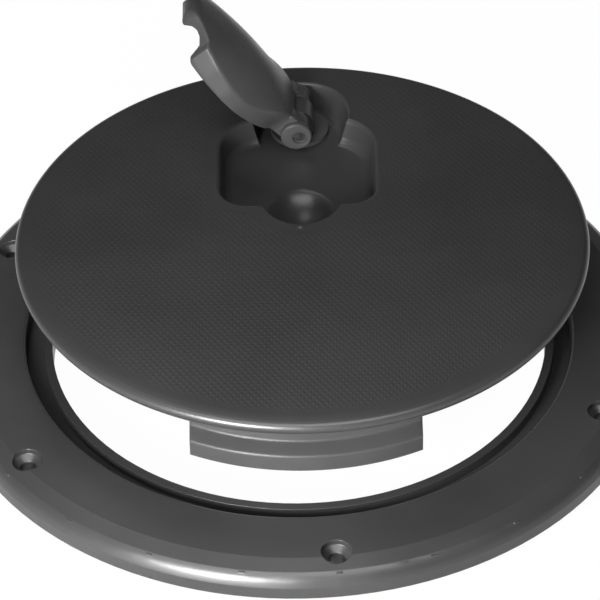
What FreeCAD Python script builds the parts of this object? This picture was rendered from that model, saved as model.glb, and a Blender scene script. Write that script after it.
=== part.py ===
import FreeCAD, Part
import math
import os
import Sketcher

# Round inspection cover: a screw-down deck ring and a lid that lifts off it. A tongue under the
# lid's front hooks below the ring's collar, and a cam lever in a pocket turns and draws up a dog
# that grips the collar at the back. The origin is the centre of the ring's seat on the deck, +Z up.

doc = FreeCAD.newDocument("InspectionCover")
sheet = doc.addObject("Spreadsheet::Sheet", "Sizes")

sizes = [
    # deck ring
    ("RingInner", 90.0),
    ("RingOuter", 116.5),
    ("FlangeHeight", 9.5),
    ("FlangeSkin", 3.2),
    ("RimWall", 4.5),
    ("BandInset", 8.0),
    ("BandWidth", 4.8),
    ("BandDrop", 1.4),
    ("NoseDrop", 4.0),
    ("NoseRadius", 6.0),
    ("EdgeRound", 1.0),
    ("LipInner", 81.3),
    ("LipWall", 2.8),
    ("LipDrop", 2.8),
    ("GutterFloor", 3.0),
    ("CollarWall", 4.0),
    ("CollarDepth", 7.65),
    ("LeadWidth", 1.7),
    ("LeadHeight", 5.35),
    # screws through the ring
    ("ScrewCircle", 106.2),
    ("ScrewCount", 6),
    ("ScrewTurn", 5.5),
    ("ScrewHole", 2.6),
    ("ScrewHead", 4.8),
    ("HeadDepth", 1.8),
    ("SeatDrop", 1.6),
    ("BossRadius", 7.4),
    ("RibCount", 24),
    ("RibThick", 1.8),
    # lid
    ("LidRadius", 93.6),
    ("LidThick", 4.5),
    ("LidGap", 0.3),
    ("StiffenerOuter", 72.5),
    ("StiffenerWall", 2.5),
    ("StiffenerDepth", 4.0),
    ("LidShiftX", 1.7),
    ("LidShiftY", 9.3),
    ("LidLift", 27.3),
    # pocket in the lid
    ("PocketHalf", 26.0),
    ("PocketFront", 16.0),
    ("PocketBack", 63.0),
    ("PocketAside", 1.0),
    ("PocketCorner", 9.0),
    ("PocketShoulder", 16.0),
    ("PocketDepth", 9.0),
    ("PocketSlope", 1.9),
    ("PocketWall", 2.0),
    ("PocketFloor", 3.0),
    ("LobeY", 66.3),
    ("LobeRadius", 16.7),
    ("LobeSlope", 4.6),
    ("LobeWall", 1.3),
    ("ScoopY", 21.4),
    ("ScoopLong", 16.2),
    ("ScoopDepth", 13.8),
    # gasket and tongue
    ("GasketInner", 82.2),
    ("GasketWidth", 4.0),
    ("GasketGap", 0.3),
    ("GasketRound", 0.8),
    ("WebOuter", 78.0),
    ("WebThick", 3.5),
    ("HookReach", 4.9),
    ("RampRise", 2.2),
    ("TongueGap", 0.45),
    ("TongueFace", 7.0),
    ("TongueChamfer", 1.2),
    ("TongueHalf", 36.6),
    # latch
    ("PostY", 67.2),
    ("PostRadius", 4.0),
    ("RunClearance", 0.06),
    ("SideGap", 0.3),
    ("BushWall", 1.5),
    ("BossWall", 3.0),
    ("BossDrop", 9.0),
    ("BushFlange", 1.0),
    ("FlangeReach", 1.6),
    ("WasherRadius", 9.8),
    ("WasherThick", 1.5),
    ("CamRadius", 5.0),
    ("CamAhead", 1.15),
    ("CamBelow", 0.6),
    ("LeverRaise", 50.5),
    ("SwivelOpen", 90.0),
    ("PinRadius", 1.8),
    ("HeadLength", 9.7),
    ("HeadWidth", 8.4),
    ("EarWidth", 7.1),
    ("RingGrooveDrop", 13.5),
    ("RingSection", 0.7),
    # lever
    ("LeverLength", 59.5),
    ("SkirtFront", 50.2),
    ("SkirtLean", 1.6),
    ("LeverHalf", 19.5),
    ("ShoulderHalf", 13.7),
    ("TabHalf", 6.3),
    ("TipHalf", 3.4),
    ("TipRise", 5.2),
    ("LeverDip", 0.8),
    ("LeverSkin", 2.4),
    ("SkirtWall", 2.2),
    ("SkirtDrop", 6.4),
    ("FarDrop", 1.0),
    ("FarDeep", 2.6),
    ("FarStart", 20.0),
    ("CrownTop", 7.0),
    ("CrownRadius", 27.0),
    ("LipBottom", 2.0),
    # dog under the lid
    ("DogShort", 0.5),
    ("DogThick", 4.5),
    ("DogGap", 0.4),
    ("DogHub", 6.5),
    ("DogEnd", 4.5),
    ("SquareHalf", 2.7),
    ("StudRadius", 2.5),
    ("StudSpare", 1.2),
    ("NutFlats", 8.0),
    ("NutHeight", 5.0),
    ("FlatWasher", 5.5),
    ("FlatWasherThick", 1.2),
]

row = 1
for name, number in sizes:
    sheet.set("A%d" % row, name)
    sheet.set("B%d" % row, "%g" % number)
    sheet.setAlias("B%d" % row, name)
    row += 1
doc.recompute()


def link(text):
    """Writes each size's name in an expression as a reference to its cell."""
    words = []
    word = ""
    for letter in text + " ":
        if letter.isalnum():
            word += letter
            continue
        if word and word in names:
            word = "Sizes." + word
        words.append(word + letter)
        word = ""
    return "".join(words).strip()


names = {name for name, number in sizes}


def value(text):
    """Works out an expression of the sizes as a plain number."""
    result = sheet.evalExpression(link(str(text)))
    return float(getattr(result, "Value", result))


def new_body(label):
    body = doc.addObject("PartDesign::Body", label)
    body.Label = label
    return body


def plane(body, role):
    for feature in body.Origin.OriginFeatures:
        if feature.Role == role:
            return feature


def new_sketch(body, role, offset="0", aside="0"):
    """Starts a sketch on one of the body's own planes, moved along its normal and along its x."""
    sketch = body.newObject("Sketcher::SketchObject", "Sketch")
    sketch.AttachmentSupport = [(plane(body, role), "")]
    sketch.MapMode = "FlatFace"
    if offset != "0":
        sketch.setExpression("AttachmentOffset.Base.z", link(offset))
    if aside != "0":
        sketch.setExpression("AttachmentOffset.Base.x", link(aside))
    return sketch


def fix_point(sketch, index, position, x, y):
    """Holds a point of a sketch at x and y, each an expression of the sizes."""
    for kind, axis, text in (("DistanceX", -2, x), ("DistanceY", -1, y)):
        number = value(text)
        if abs(number) < 1e-9:
            sketch.addConstraint(Sketcher.Constraint("PointOnObject", index, position, axis))
            continue
        if number > 0:
            rule = Sketcher.Constraint(kind, -1, 1, index, position, number)
            text = link(text)
        else:
            rule = Sketcher.Constraint(kind, index, position, -1, 1, -number)
            text = "-(%s)" % link(text)
        sketch.setExpression("Constraints[%d]" % sketch.addConstraint(rule), text)


def arc_between(start, end, radius, turn):
    """Gives the arc of a radius from start to end, left-handed for turn 1, right-handed for -1."""
    middle = (start + end) * 0.5
    chord = end - start
    half = chord.Length / 2
    rise = math.sqrt(max(radius * radius - half * half, 0.0))
    side = FreeCAD.Vector(-chord.y, chord.x, 0).normalize()
    centre = middle + side * rise * turn
    first = start if turn > 0 else end
    last = end if turn > 0 else start
    a = math.atan2(first.y - centre.y, first.x - centre.x)
    b = math.atan2(last.y - centre.y, last.x - centre.x)
    if b < a:
        b += 2 * math.pi
    return Part.ArcOfCircle(Part.Circle(centre, FreeCAD.Vector(0, 0, 1), radius), a, b)


def outline(sketch, points):
    """Draws a closed outline. A point with a radius and a turn starts an arc, else a line."""
    spots = [FreeCAD.Vector(value(p[0]), value(p[1]), 0) for p in points]
    count = len(points)
    base = sketch.GeometryCount
    ends = []
    for i, point in enumerate(points):
        start = spots[i]
        end = spots[(i + 1) % count]
        if len(point) == 4:
            radius, turn = point[2], point[3]
            sketch.addGeometry(arc_between(start, end, value(radius), turn), False)
            ends.append((1, 2) if turn > 0 else (2, 1))
        else:
            sketch.addGeometry(Part.LineSegment(start, end), False)
            ends.append((1, 2))
    for i in range(count):
        after = (i + 1) % count
        sketch.addConstraint(Sketcher.Constraint("Coincident", base + i, ends[i][1],
                                                 base + after, ends[after][0]))
    for i, point in enumerate(points):
        fix_point(sketch, base + i, ends[i][0], point[0], point[1])
        if len(point) == 4:
            rule = Sketcher.Constraint("Radius", base + i, value(point[2]))
            sketch.setExpression("Constraints[%d]" % sketch.addConstraint(rule), link(point[2]))
    return sketch


def circle(sketch, x, y, radius):
    centre = FreeCAD.Vector(value(x), value(y), 0)
    index = sketch.addGeometry(Part.Circle(centre, FreeCAD.Vector(0, 0, 1), value(radius)), False)
    fix_point(sketch, index, 3, x, y)
    rule = Sketcher.Constraint("Radius", index, value(radius))
    sketch.setExpression("Constraints[%d]" % sketch.addConstraint(rule), link(radius))
    return sketch


def upright_axis(sketch, x):
    """Draws a construction line parallel to the sketch's upright axis, to turn a profile about."""
    start = FreeCAD.Vector(value(x), 0, 0)
    index = sketch.addGeometry(Part.LineSegment(start, start + FreeCAD.Vector(0, 10, 0)), True)
    fix_point(sketch, index, 1, x, "0")
    sketch.addConstraint(Sketcher.Constraint("Vertical", index))
    sketch.addConstraint(Sketcher.Constraint("DistanceY", index, 1, index, 2, 10.0))
    return "Axis0"


def rounded_box(half, front, back, corner, shoulder):
    """Gives the points of a box outline with its own corner radius at the front and at the back."""
    near, far = "(%s)" % front, "(%s)" % back
    side, r, s = "(%s)" % half, "(%s)" % corner, "(%s)" % shoulder
    return [
        ("-%s + %s" % (side, r), near),
        ("%s - %s" % (side, r), near, r, 1),
        (side, "%s + %s" % (near, r)),
        (side, "%s - %s" % (far, s), s, 1),
        ("%s - %s" % (side, s), far),
        ("-%s + %s" % (side, s), far, s, 1),
        ("-" + side, "%s - %s" % (far, s)),
        ("-" + side, "%s + %s" % (near, r), r, 1),
    ]


def revolve(body, sketch, kind="Revolution", axis="V_Axis", angle=360.0, both=False):
    feature = body.newObject("PartDesign::" + kind, kind)
    feature.Profile = sketch
    feature.ReferenceAxis = (sketch, [axis])
    feature.Angle = angle
    feature.Midplane = both
    doc.recompute()
    return feature


def extrude(body, sketch, kind, length, downwards=False, both=False):
    feature = body.newObject("PartDesign::" + kind, kind)
    feature.Profile = sketch
    feature.setExpression("Length", link(length))
    feature.Reversed = downwards
    feature.Midplane = both
    doc.recompute()
    return feature


def loft(body, kind, first, second):
    feature = body.newObject("PartDesign::" + kind, kind)
    feature.Profile = first
    feature.Sections = [second]
    feature.Ruled = True
    doc.recompute()
    return feature


def around(body, features, count):
    """Repeats features about the body's upright axis."""
    pattern = body.newObject("PartDesign::PolarPattern", "PolarPattern")
    pattern.Originals = features
    pattern.Axis = (plane(body, "Z_Axis"), [""])
    pattern.Angle = 360.0
    pattern.setExpression("Occurrences", link(count))
    body.Tip = pattern
    doc.recompute()
    return pattern


def place(body, x, y, z, turn=0.0, raise_angle=0.0):
    """Puts a sub-part at a point, raised about its own Y, then turned about the upright axis."""
    rotation = FreeCAD.Rotation(FreeCAD.Vector(0, 0, 1), turn)
    rotation = rotation.multiply(FreeCAD.Rotation(FreeCAD.Vector(0, 1, 0), -raise_angle))
    body.Placement = FreeCAD.Placement(FreeCAD.Vector(x, y, z), rotation)


# heights in the lid's own frame, whose origin is the middle of its top face
seated_top = "(FlangeHeight + LidGap + LidThick)"
post_low = "(PocketDepth - SideGap - WasherThick)"
support_open = "(CamRadius - CamAhead * sin(LeverRaise * 1deg) + CamBelow * cos(LeverRaise * 1deg))"
travel = "(CamRadius + CamBelow - %s)" % support_open
pin_low = "(%s - %s - SideGap)" % (post_low, support_open)
boss_bottom = "(PocketDepth + PocketFloor + BossDrop)"
dog_top_open = "(%s + CollarDepth + DogGap + %s)" % (seated_top, travel)

lid_top = value("%s + LidLift" % seated_top)
lid_spot = (value("LidShiftX"), value("LidShiftY"), lid_top)
open_turn = -90.0 - value("SwivelOpen")


def place_on_lid(body):
    place(body, *lid_spot)


def place_on_post(body, raise_angle=0.0):
    """Puts a latch piece, modelled about the pin's middle, where the open latch carries it."""
    height = lid_top - value(pin_low)
    place(body, lid_spot[0], lid_spot[1] + value("PostY"), height, open_turn, raise_angle)


# Deck ring: a hollow flange with ribs and screw bosses below, a drained gutter, the seal lip and
# the collar that passes through the deck. The collar's lower inner edge is tapered as a lead-in.
def make_ring():
    body = new_body("deck_ring")
    sketch = new_sketch(body, "XZ_Plane")
    band = "RingOuter - BandInset"
    outline(sketch, [
        ("LipInner", "FlangeHeight - LipDrop"),
        ("LipInner + LipWall", "FlangeHeight - LipDrop"),
        ("LipInner + LipWall", "GutterFloor"),
        ("RingInner", "GutterFloor"),
        ("RingInner", "FlangeHeight - EdgeRound", "EdgeRound", -1),
        ("RingInner + EdgeRound", "FlangeHeight"),
        (band, "FlangeHeight"),
        (band + " + BandWidth", "FlangeHeight - BandDrop", "NoseRadius", -1),
        ("RingOuter", "FlangeHeight - BandDrop - NoseDrop"),
        ("RingOuter", "0"),
        ("RingOuter - RimWall", "0"),
        ("RingOuter - RimWall", "FlangeHeight - FlangeSkin"),
        ("RingInner + FlangeSkin", "FlangeHeight - FlangeSkin"),
        ("RingInner + FlangeSkin", "0"),
        ("LipInner + CollarWall", "0"),
        ("LipInner + CollarWall", "-CollarDepth"),
        ("LipInner + LeadWidth", "-CollarDepth"),
        ("LipInner", "LeadHeight - CollarDepth"),
    ])
    revolve(body, sketch)

    rib = new_sketch(body, "XY_Plane")
    inner = "RingInner + FlangeSkin / 2"
    outer = "RingOuter - RimWall / 2"
    outline(rib, [
        (inner, "-RibThick / 2"),
        (outer, "-RibThick / 2"),
        (outer, "RibThick / 2"),
        (inner, "RibThick / 2"),
    ])
    rib_pad = extrude(body, rib, "Pad", "FlangeHeight - FlangeSkin / 2")
    around(body, [rib_pad], "RibCount")

    boss = new_sketch(body, "XY_Plane")
    circle(boss, "ScrewCircle", "0", "BossRadius")
    boss_pad = extrude(body, boss, "Pad", "FlangeHeight - FlangeSkin / 2")
    around(body, [boss_pad], "ScrewCount")

    hole = new_sketch(body, "XZ_Plane")
    upright_axis(hole, "ScrewCircle")
    outline(hole, [
        ("ScrewCircle", "-1"),
        ("ScrewCircle + ScrewHole", "-1"),
        ("ScrewCircle + ScrewHole", "FlangeHeight - HeadDepth - SeatDrop"),
        ("ScrewCircle + ScrewHead", "FlangeHeight - HeadDepth"),
        ("ScrewCircle + ScrewHead", "FlangeHeight + 1"),
        ("ScrewCircle", "FlangeHeight + 1"),
    ])
    hole_cut = revolve(body, hole, "Groove", "Axis0")
    around(body, [hole_cut], "ScrewCount")
    place(body, 0, 0, 0, value("ScrewTurn") - 90.0)
    return body


# Lid: a flat disc with a rounded rim, a stiffening wall below, and the latch pocket as a tub with
# sloping walls, a round lobe for the post at the back and a finger scoop at the front. The scoop is
# an arc turned about a line that lies in the lid's top face and runs to the front.
def make_lid():
    body = new_body("lid")
    disc = new_sketch(body, "XZ_Plane")
    outline(disc, [
        ("0", "0"),
        ("0", "-LidThick"),
        ("StiffenerOuter - StiffenerWall", "-LidThick"),
        ("StiffenerOuter - StiffenerWall", "-LidThick - StiffenerDepth"),
        ("StiffenerOuter", "-LidThick - StiffenerDepth"),
        ("StiffenerOuter", "-LidThick"),
        ("LidRadius - LidThick / 2", "-LidThick", "LidThick / 2", 1),
        ("LidRadius", "-LidThick / 2", "LidThick / 2", 1),
        ("LidRadius - LidThick / 2", "0"),
    ])
    revolve(body, disc)

    low = "PocketDepth + PocketFloor"
    drawn_in = "PocketSlope * (PocketDepth + PocketFloor) / PocketDepth"
    top = new_sketch(body, "XY_Plane", "-LidThick / 2", "-PocketAside")
    outline(top, rounded_box("PocketHalf + PocketWall", "PocketFront - PocketWall",
                             "PocketBack + PocketWall", "PocketCorner + PocketWall",
                             "PocketShoulder + PocketWall"))
    bottom = new_sketch(body, "XY_Plane", "-(%s)" % low, "-PocketAside")
    outline(bottom, rounded_box("PocketHalf + PocketWall - " + drawn_in,
                                "PocketFront - PocketWall + " + drawn_in,
                                "PocketBack + PocketWall - " + drawn_in,
                                "PocketCorner + PocketWall - " + drawn_in,
                                "PocketShoulder + PocketWall - " + drawn_in))
    loft(body, "AdditiveLoft", top, bottom)

    lobe = new_sketch(body, "YZ_Plane")
    upright_axis(lobe, "LobeY")
    shell = "LobeY + LobeRadius + LobeWall"
    outline(lobe, [
        ("LobeY", "-LidThick / 2"),
        ("LobeY", "-(%s)" % low),
        ("%s - LobeSlope * (%s) / PocketDepth" % (shell, low), "-(%s)" % low),
        ("%s - LobeSlope * LidThick / 2 / PocketDepth" % shell, "-LidThick / 2"),
    ])
    revolve(body, lobe, "Revolution", "Axis0")

    ball = "((ScoopLong * ScoopLong + ScoopDepth * ScoopDepth) / (2 * ScoopDepth))"
    cup = new_sketch(body, "YZ_Plane")
    shell = "(%s + LobeWall)" % ball
    rise = "(%s - ScoopDepth)" % ball
    shell_long = "sqrt(%s * %s - %s * %s)" % (shell, shell, rise, rise)
    outline(cup, [
        ("ScoopY - " + shell_long, "0", shell, 1),
        ("ScoopY + " + shell_long, "0"),
    ])
    revolve(body, cup, axis="H_Axis", angle=160.0, both=True)

    boss = new_sketch(body, "XY_Plane", "-PocketDepth - PocketFloor / 2")
    circle(boss, "0", "PostY", "PostRadius + RunClearance + BushWall + BossWall")
    extrude(body, boss, "Pad", "BossDrop + PocketFloor / 2", True)

    mouth = new_sketch(body, "XY_Plane", aside="-PocketAside")
    outline(mouth, rounded_box("PocketHalf", "PocketFront", "PocketBack", "PocketCorner",
                               "PocketShoulder"))
    floor = new_sketch(body, "XY_Plane", "-PocketDepth", "-PocketAside")
    outline(floor, rounded_box("PocketHalf - PocketSlope", "PocketFront + PocketSlope",
                               "PocketBack - PocketSlope", "PocketCorner - PocketSlope",
                               "PocketShoulder - PocketSlope"))
    loft(body, "SubtractiveLoft", mouth, floor)

    hollow = new_sketch(body, "YZ_Plane")
    upright_axis(hollow, "LobeY")
    outline(hollow, [
        ("LobeY", "1"),
        ("LobeY", "-PocketDepth"),
        ("LobeY + LobeRadius - LobeSlope", "-PocketDepth"),
        ("LobeY + LobeRadius", "0"),
        ("LobeY + LobeRadius", "1"),
    ])
    revolve(body, hollow, "Groove", "Axis0")

    scoop = new_sketch(body, "YZ_Plane")
    outline(scoop, [
        ("ScoopY - ScoopLong", "0", ball, 1),
        ("ScoopY + ScoopLong", "0"),
    ])
    revolve(body, scoop, "Groove", "H_Axis")

    bore = new_sketch(body, "XY_Plane", "-PocketDepth + 1")
    circle(bore, "0", "PostY", "PostRadius + RunClearance + BushWall + 0.02")
    extrude(body, bore, "Pocket", "PocketFloor + BossDrop + 3")
    place_on_lid(body)
    return body


def make_gasket():
    body = new_body("lid_gasket")
    low = "(%s - FlangeHeight + LipDrop - GasketGap)" % seated_top
    outer = "GasketInner + GasketWidth"
    sketch = new_sketch(body, "XZ_Plane")
    outline(sketch, [
        ("GasketInner", "-LidThick"),
        ("GasketInner", "GasketRound - %s" % low, "GasketRound", 1),
        ("GasketInner + GasketRound", "-%s" % low),
        ("%s - GasketRound" % outer, "-%s" % low, "GasketRound", 1),
        (outer, "GasketRound - %s" % low),
        (outer, "-LidThick"),
    ])
    revolve(body, sketch)
    place_on_lid(body)
    return body


# Tongue: a curved web below the lid's front edge with a ramped foot that hooks under the collar.
def make_tongue():
    body = new_body("front_tongue")
    tip = "(%s + CollarDepth + TongueGap)" % seated_top
    inner = "WebOuter - WebThick"
    reach = "WebOuter + HookReach"
    sketch = new_sketch(body, "XZ_Plane")
    outline(sketch, [
        (inner, "-LidThick"),
        (inner, "-%s - TongueFace" % tip),
        (reach + " - TongueChamfer", "-%s - TongueFace" % tip),
        (reach, "TongueChamfer - %s - TongueFace" % tip),
        (reach, "-%s" % tip),
        ("WebOuter", "RampRise - %s" % tip),
        ("WebOuter", "-LidThick"),
    ])
    revolve(body, sketch, angle=80.0, both=True)
    trim = new_sketch(body, "XY_Plane", "-LidThick + 1")
    past = reach + " + 5"
    outline(trim, [
        ("0", "TongueHalf"),
        (past, "TongueHalf"),
        (past, past),
        ("0", past),
    ])
    outline(trim, [
        ("0", "-TongueHalf"),
        (past, "-TongueHalf"),
        (past, "-(%s)" % past),
        ("0", "-(%s)" % past),
    ])
    extrude(body, trim, "Pocket", "%s + TongueFace" % tip)
    place(body, *lid_spot, turn=-90.0)
    return body


def make_bush():
    body = new_body("post_bush")
    bore = "PostRadius + RunClearance"
    wall = "PostRadius + RunClearance + BushWall"
    sketch = new_sketch(body, "XZ_Plane")
    outline(sketch, [
        (bore, "-PocketDepth"),
        (bore, "-%s - BushFlange" % boss_bottom),
        ("%s + FlangeReach" % wall, "-%s - BushFlange" % boss_bottom),
        ("%s + FlangeReach" % wall, "-%s" % boss_bottom),
        (wall, "-%s" % boss_bottom),
        (wall, "-PocketDepth"),
    ])
    revolve(body, sketch)
    place(body, lid_spot[0], lid_spot[1] + value("PostY"), lid_top)
    return body


def make_thrust_washer():
    body = new_body("thrust_washer")
    sketch = new_sketch(body, "XZ_Plane")
    outline(sketch, [
        ("PostRadius + RunClearance", "%s - %s - WasherThick" % (pin_low, post_low)),
        ("WasherRadius", "%s - %s - WasherThick" % (pin_low, post_low)),
        ("WasherRadius", "%s - %s" % (pin_low, post_low)),
        ("PostRadius + RunClearance", "%s - %s" % (pin_low, post_low)),
    ])
    revolve(body, sketch)
    place_on_post(body)
    return body


# Latch post: a flat head that takes the pin, a round shank with the seal's groove, a square for
# the dog and a stud for the nut. Its origin is the middle of the pin.
dog_top = "(%s - %s)" % (dog_top_open, pin_low)


def make_post():
    body = new_body("latch_post")
    shank = new_sketch(body, "XZ_Plane")
    groove = "RingGrooveDrop"
    bed = "PostRadius - 2 * RingSection"
    outline(shank, [
        ("0", "-PinRadius - 1"),
        ("0", "-%s" % dog_top),
        ("PostRadius", "-%s" % dog_top),
        ("PostRadius", "-%s - RingSection - 0.2" % groove),
        (bed, "-%s - RingSection - 0.2" % groove),
        (bed, "RingSection + 0.2 - %s" % groove),
        ("PostRadius", "RingSection + 0.2 - %s" % groove),
        ("PostRadius", "-PinRadius - 1"),
    ])
    revolve(body, shank)

    head = new_sketch(body, "XZ_Plane")
    half = "HeadLength / 2"
    outline(head, [
        ("-HeadLength / 2", "-CamRadius + 0.9"),
        (half, "-CamRadius + 0.9"),
        (half, "0", half, 1),
        ("0", half, half, 1),
        ("-HeadLength / 2", "0"),
    ])
    extrude(body, head, "Pad", "HeadWidth", both=True)

    square = new_sketch(body, "XY_Plane", "-%s + 1" % dog_top)
    outline(square, [
        ("-SquareHalf", "-SquareHalf"),
        ("SquareHalf", "-SquareHalf"),
        ("SquareHalf", "SquareHalf"),
        ("-SquareHalf", "SquareHalf"),
    ])
    extrude(body, square, "Pad", "DogThick + 1", True)

    stud = new_sketch(body, "XY_Plane", "-%s" % dog_top)
    circle(stud, "0", "0", "StudRadius")
    extrude(body, stud, "Pad", "DogThick + FlatWasherThick + NutHeight + StudSpare", True)

    cross = new_sketch(body, "XZ_Plane")
    circle(cross, "0", "0", "PinRadius + RunClearance")
    extrude(body, cross, "Pocket", "HeadWidth + 2", both=True)
    place_on_post(body)
    return body


def make_seal_ring():
    ring = doc.addObject("Part::Torus", "post_seal_ring")
    ring.Label = "post_seal_ring"
    ring.setExpression("Radius1", link("PostRadius - RingSection"))
    ring.setExpression("Radius2", link("RingSection"))
    place_on_post(ring)
    ring.Placement.Base.z -= value("RingGrooveDrop")
    return ring


# Dog: a flat bar on the post's square, opposite the lever, with a rounded end that goes under the
# collar when the lever points to the front.
def make_dog():
    body = new_body("latch_dog")
    plan = new_sketch(body, "XY_Plane", "-%s" % dog_top)
    reach = "(LipInner + CollarWall - DogShort - PostY)"
    end = "%s - DogEnd" % reach
    lean = "(DogHub - DogEnd) / (%s)" % end
    side = "sqrt(1 - %s * %s)" % (lean, lean)
    outline(plan, [
        ("-DogHub * %s" % lean, "-DogHub * %s" % side, "DogHub", 1),
        ("DogHub", "0", "DogHub", 1),
        ("-DogHub * %s" % lean, "DogHub * %s" % side),
        ("-(%s) - DogEnd * %s" % (end, lean), "DogEnd * %s" % side, "DogEnd", 1),
        ("-" + reach, "0", "DogEnd", 1),
        ("-(%s) - DogEnd * %s" % (end, lean), "-DogEnd * %s" % side),
    ])
    extrude(body, plan, "Pad", "DogThick", True)
    eye = new_sketch(body, "XY_Plane", "-%s + 1" % dog_top)
    outline(eye, [
        ("-SquareHalf - 0.05", "-SquareHalf - 0.05"),
        ("SquareHalf + 0.05", "-SquareHalf - 0.05"),
        ("SquareHalf + 0.05", "SquareHalf + 0.05"),
        ("-SquareHalf - 0.05", "SquareHalf + 0.05"),
    ])
    extrude(body, eye, "Pocket", "DogThick + 2")
    place_on_post(body)
    return body


def make_flat_washer():
    body = new_body("dog_washer")
    sketch = new_sketch(body, "XZ_Plane")
    top = "-%s - DogThick" % dog_top
    outline(sketch, [
        ("StudRadius + 0.1", top),
        ("StudRadius + 0.1", "%s - FlatWasherThick" % top),
        ("FlatWasher", "%s - FlatWasherThick" % top),
        ("FlatWasher", top),
    ])
    revolve(body, sketch)
    place_on_post(body)
    return body


def make_nut():
    body = new_body("dog_nut")
    sketch = new_sketch(body, "XY_Plane", "-%s - DogThick - FlatWasherThick" % dog_top)
    corner = "NutFlats / sqrt(3)"
    outline(sketch, [
        (corner, "0"),
        ("%s / 2" % corner, "NutFlats / 2"),
        ("-%s / 2" % corner, "NutFlats / 2"),
        ("-%s" % corner, "0"),
        ("-%s / 2" % corner, "-NutFlats / 2"),
        ("%s / 2" % corner, "-NutFlats / 2"),
    ])
    circle(sketch, "0", "0", "StudRadius + 0.02")
    extrude(body, sketch, "Pad", "NutHeight", True)
    place_on_post(body)
    return body


# Lever: a crowned cover plate with side walls below it, two cam ears at the post and a turned-down
# lip at the tip. The wall that trails as the lever turns is shallow, and more so near the post, so
# it passes over the pocket's edge. Its origin is the pin, its length runs along X.
def make_lever():
    body = new_body("cam_lever")
    side = new_sketch(body, "XZ_Plane")
    outline(side, [
        ("CamAhead", "CamRadius - CamBelow", "CamRadius", 1),
        ("CamAhead - CamRadius", "-CamBelow", "CamRadius", 1),
        ("CamAhead", "-CamRadius - CamBelow"),
        ("WasherRadius + SideGap", "-CamRadius - CamBelow"),
        ("WasherRadius + SideGap + 0.8", "-SkirtDrop"),
        ("SkirtFront - SkirtLean", "-SkirtDrop"),
        ("SkirtFront", "-0.7"),
        ("LeverLength - 4.6", "-0.7"),
        ("LeverLength - 3.4", "-LipBottom"),
        ("LeverLength - 1.6", "-LipBottom"),
        ("LeverLength", "-0.2"),
        ("LeverLength", "TipRise - 1.5", "1.5", 1),
        ("LeverLength - 1.5", "TipRise", "130", -1),
        ("CamAhead + CamRadius * 0.8", "LeverDip + 2"),
    ])
    extrude(body, side, "Pad", "2 * LeverHalf", both=True)

    ear_half = "(HeadWidth / 2 + SideGap + EarWidth)"
    plan = new_sketch(body, "XY_Plane", "-CamRadius - CamBelow - 1")
    outline(plan, [
        ("-CamRadius - 3", "LeverHalf + 2"),
        ("-CamRadius - 3", ear_half),
        ("WasherRadius - 1", ear_half, "45", -1),
        ("LeverLength * 0.45", "LeverHalf", "70", -1),
        ("SkirtFront - 0.2", "ShoulderHalf"),
        ("SkirtFront + 0.3", "TabHalf"),
        ("LeverLength + 1", "TipHalf"),
        ("LeverLength + 3", "TipHalf"),
        ("LeverLength + 3", "LeverHalf + 2"),
    ])
    outline(plan, [
        ("-CamRadius - 3", "-LeverHalf - 2"),
        ("-CamRadius - 3", "-%s" % ear_half),
        ("WasherRadius - 1", "-%s" % ear_half, "45", 1),
        ("LeverLength * 0.45", "-LeverHalf", "70", 1),
        ("SkirtFront - 0.2", "-ShoulderHalf"),
        ("SkirtFront + 0.3", "-TabHalf"),
        ("LeverLength + 1", "-TipHalf"),
        ("LeverLength + 3", "-TipHalf"),
        ("LeverLength + 3", "-LeverHalf - 2"),
    ])
    extrude(body, plan, "Pocket", "3 * CamRadius", downwards=True)

    crown = new_sketch(body, "YZ_Plane")
    half = "(LeverHalf + 2)"
    low = "CrownTop - CrownRadius + sqrt(CrownRadius * CrownRadius - %s * %s)" % (half, half)
    outline(crown, [
        ("-" + half, low, "CrownRadius", -1),
        (half, low),
        (half, "CrownTop + TipRise"),
        ("-" + half, "CrownTop + TipRise"),
    ])
    extrude(body, crown, "Pocket", "3 * LeverLength", both=True)

    slot = new_sketch(body, "XY_Plane", "-CamRadius - CamBelow - 1")
    head = "(HeadWidth / 2 + SideGap)"
    gap = "(HeadLength / 2 + 1.2)"
    outline(slot, [
        ("-CamRadius - 3", "-%s" % head),
        (gap, "-%s" % head),
        (gap, head),
        ("-CamRadius - 3", head),
    ])
    extrude(body, slot, "Pocket", "3 * CamRadius", downwards=True)

    under = new_sketch(body, "XY_Plane", "-CamRadius - CamBelow - 1")
    near = "(HeadLength / 2 + 1.2 + SkirtWall)"
    outline(under, [
        (near, "SkirtWall - %s" % ear_half),
        ("LeverLength * 0.45", "SkirtWall - LeverHalf"),
        ("SkirtFront - SkirtWall - SkirtLean", "SkirtWall - ShoulderHalf"),
        ("SkirtFront - SkirtWall - SkirtLean", "ShoulderHalf - SkirtWall"),
        ("LeverLength * 0.45", "LeverHalf - SkirtWall"),
        (near, "%s - SkirtWall" % ear_half),
    ])
    extrude(body, under, "Pocket", "CamRadius + CamBelow + 1 + LeverDip - LeverSkin", downwards=True)

    root = "(CamAhead + CamRadius * 0.8)"
    front = "(SkirtFront - SkirtWall - SkirtLean)"
    for start, end, drop in ((root, "FarStart", "FarDrop"), ("FarStart", front, "FarDeep")):
        shallow = new_sketch(body, "XY_Plane", "-CamRadius - CamBelow - 1")
        outline(shallow, [
            (start, "-LeverHalf - 2"),
            (end, "-LeverHalf - 2"),
            (end, "-%s" % head),
            (start, "-%s" % head),
        ])
        extrude(body, shallow, "Pocket", "CamRadius + CamBelow + 1 - " + drop, downwards=True)

    cross = new_sketch(body, "XZ_Plane")
    circle(cross, "0", "0", "PinRadius + 0.01")
    extrude(body, cross, "Pocket", "4 * LeverHalf", both=True)
    place_on_post(body, value("LeverRaise"))
    return body


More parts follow.
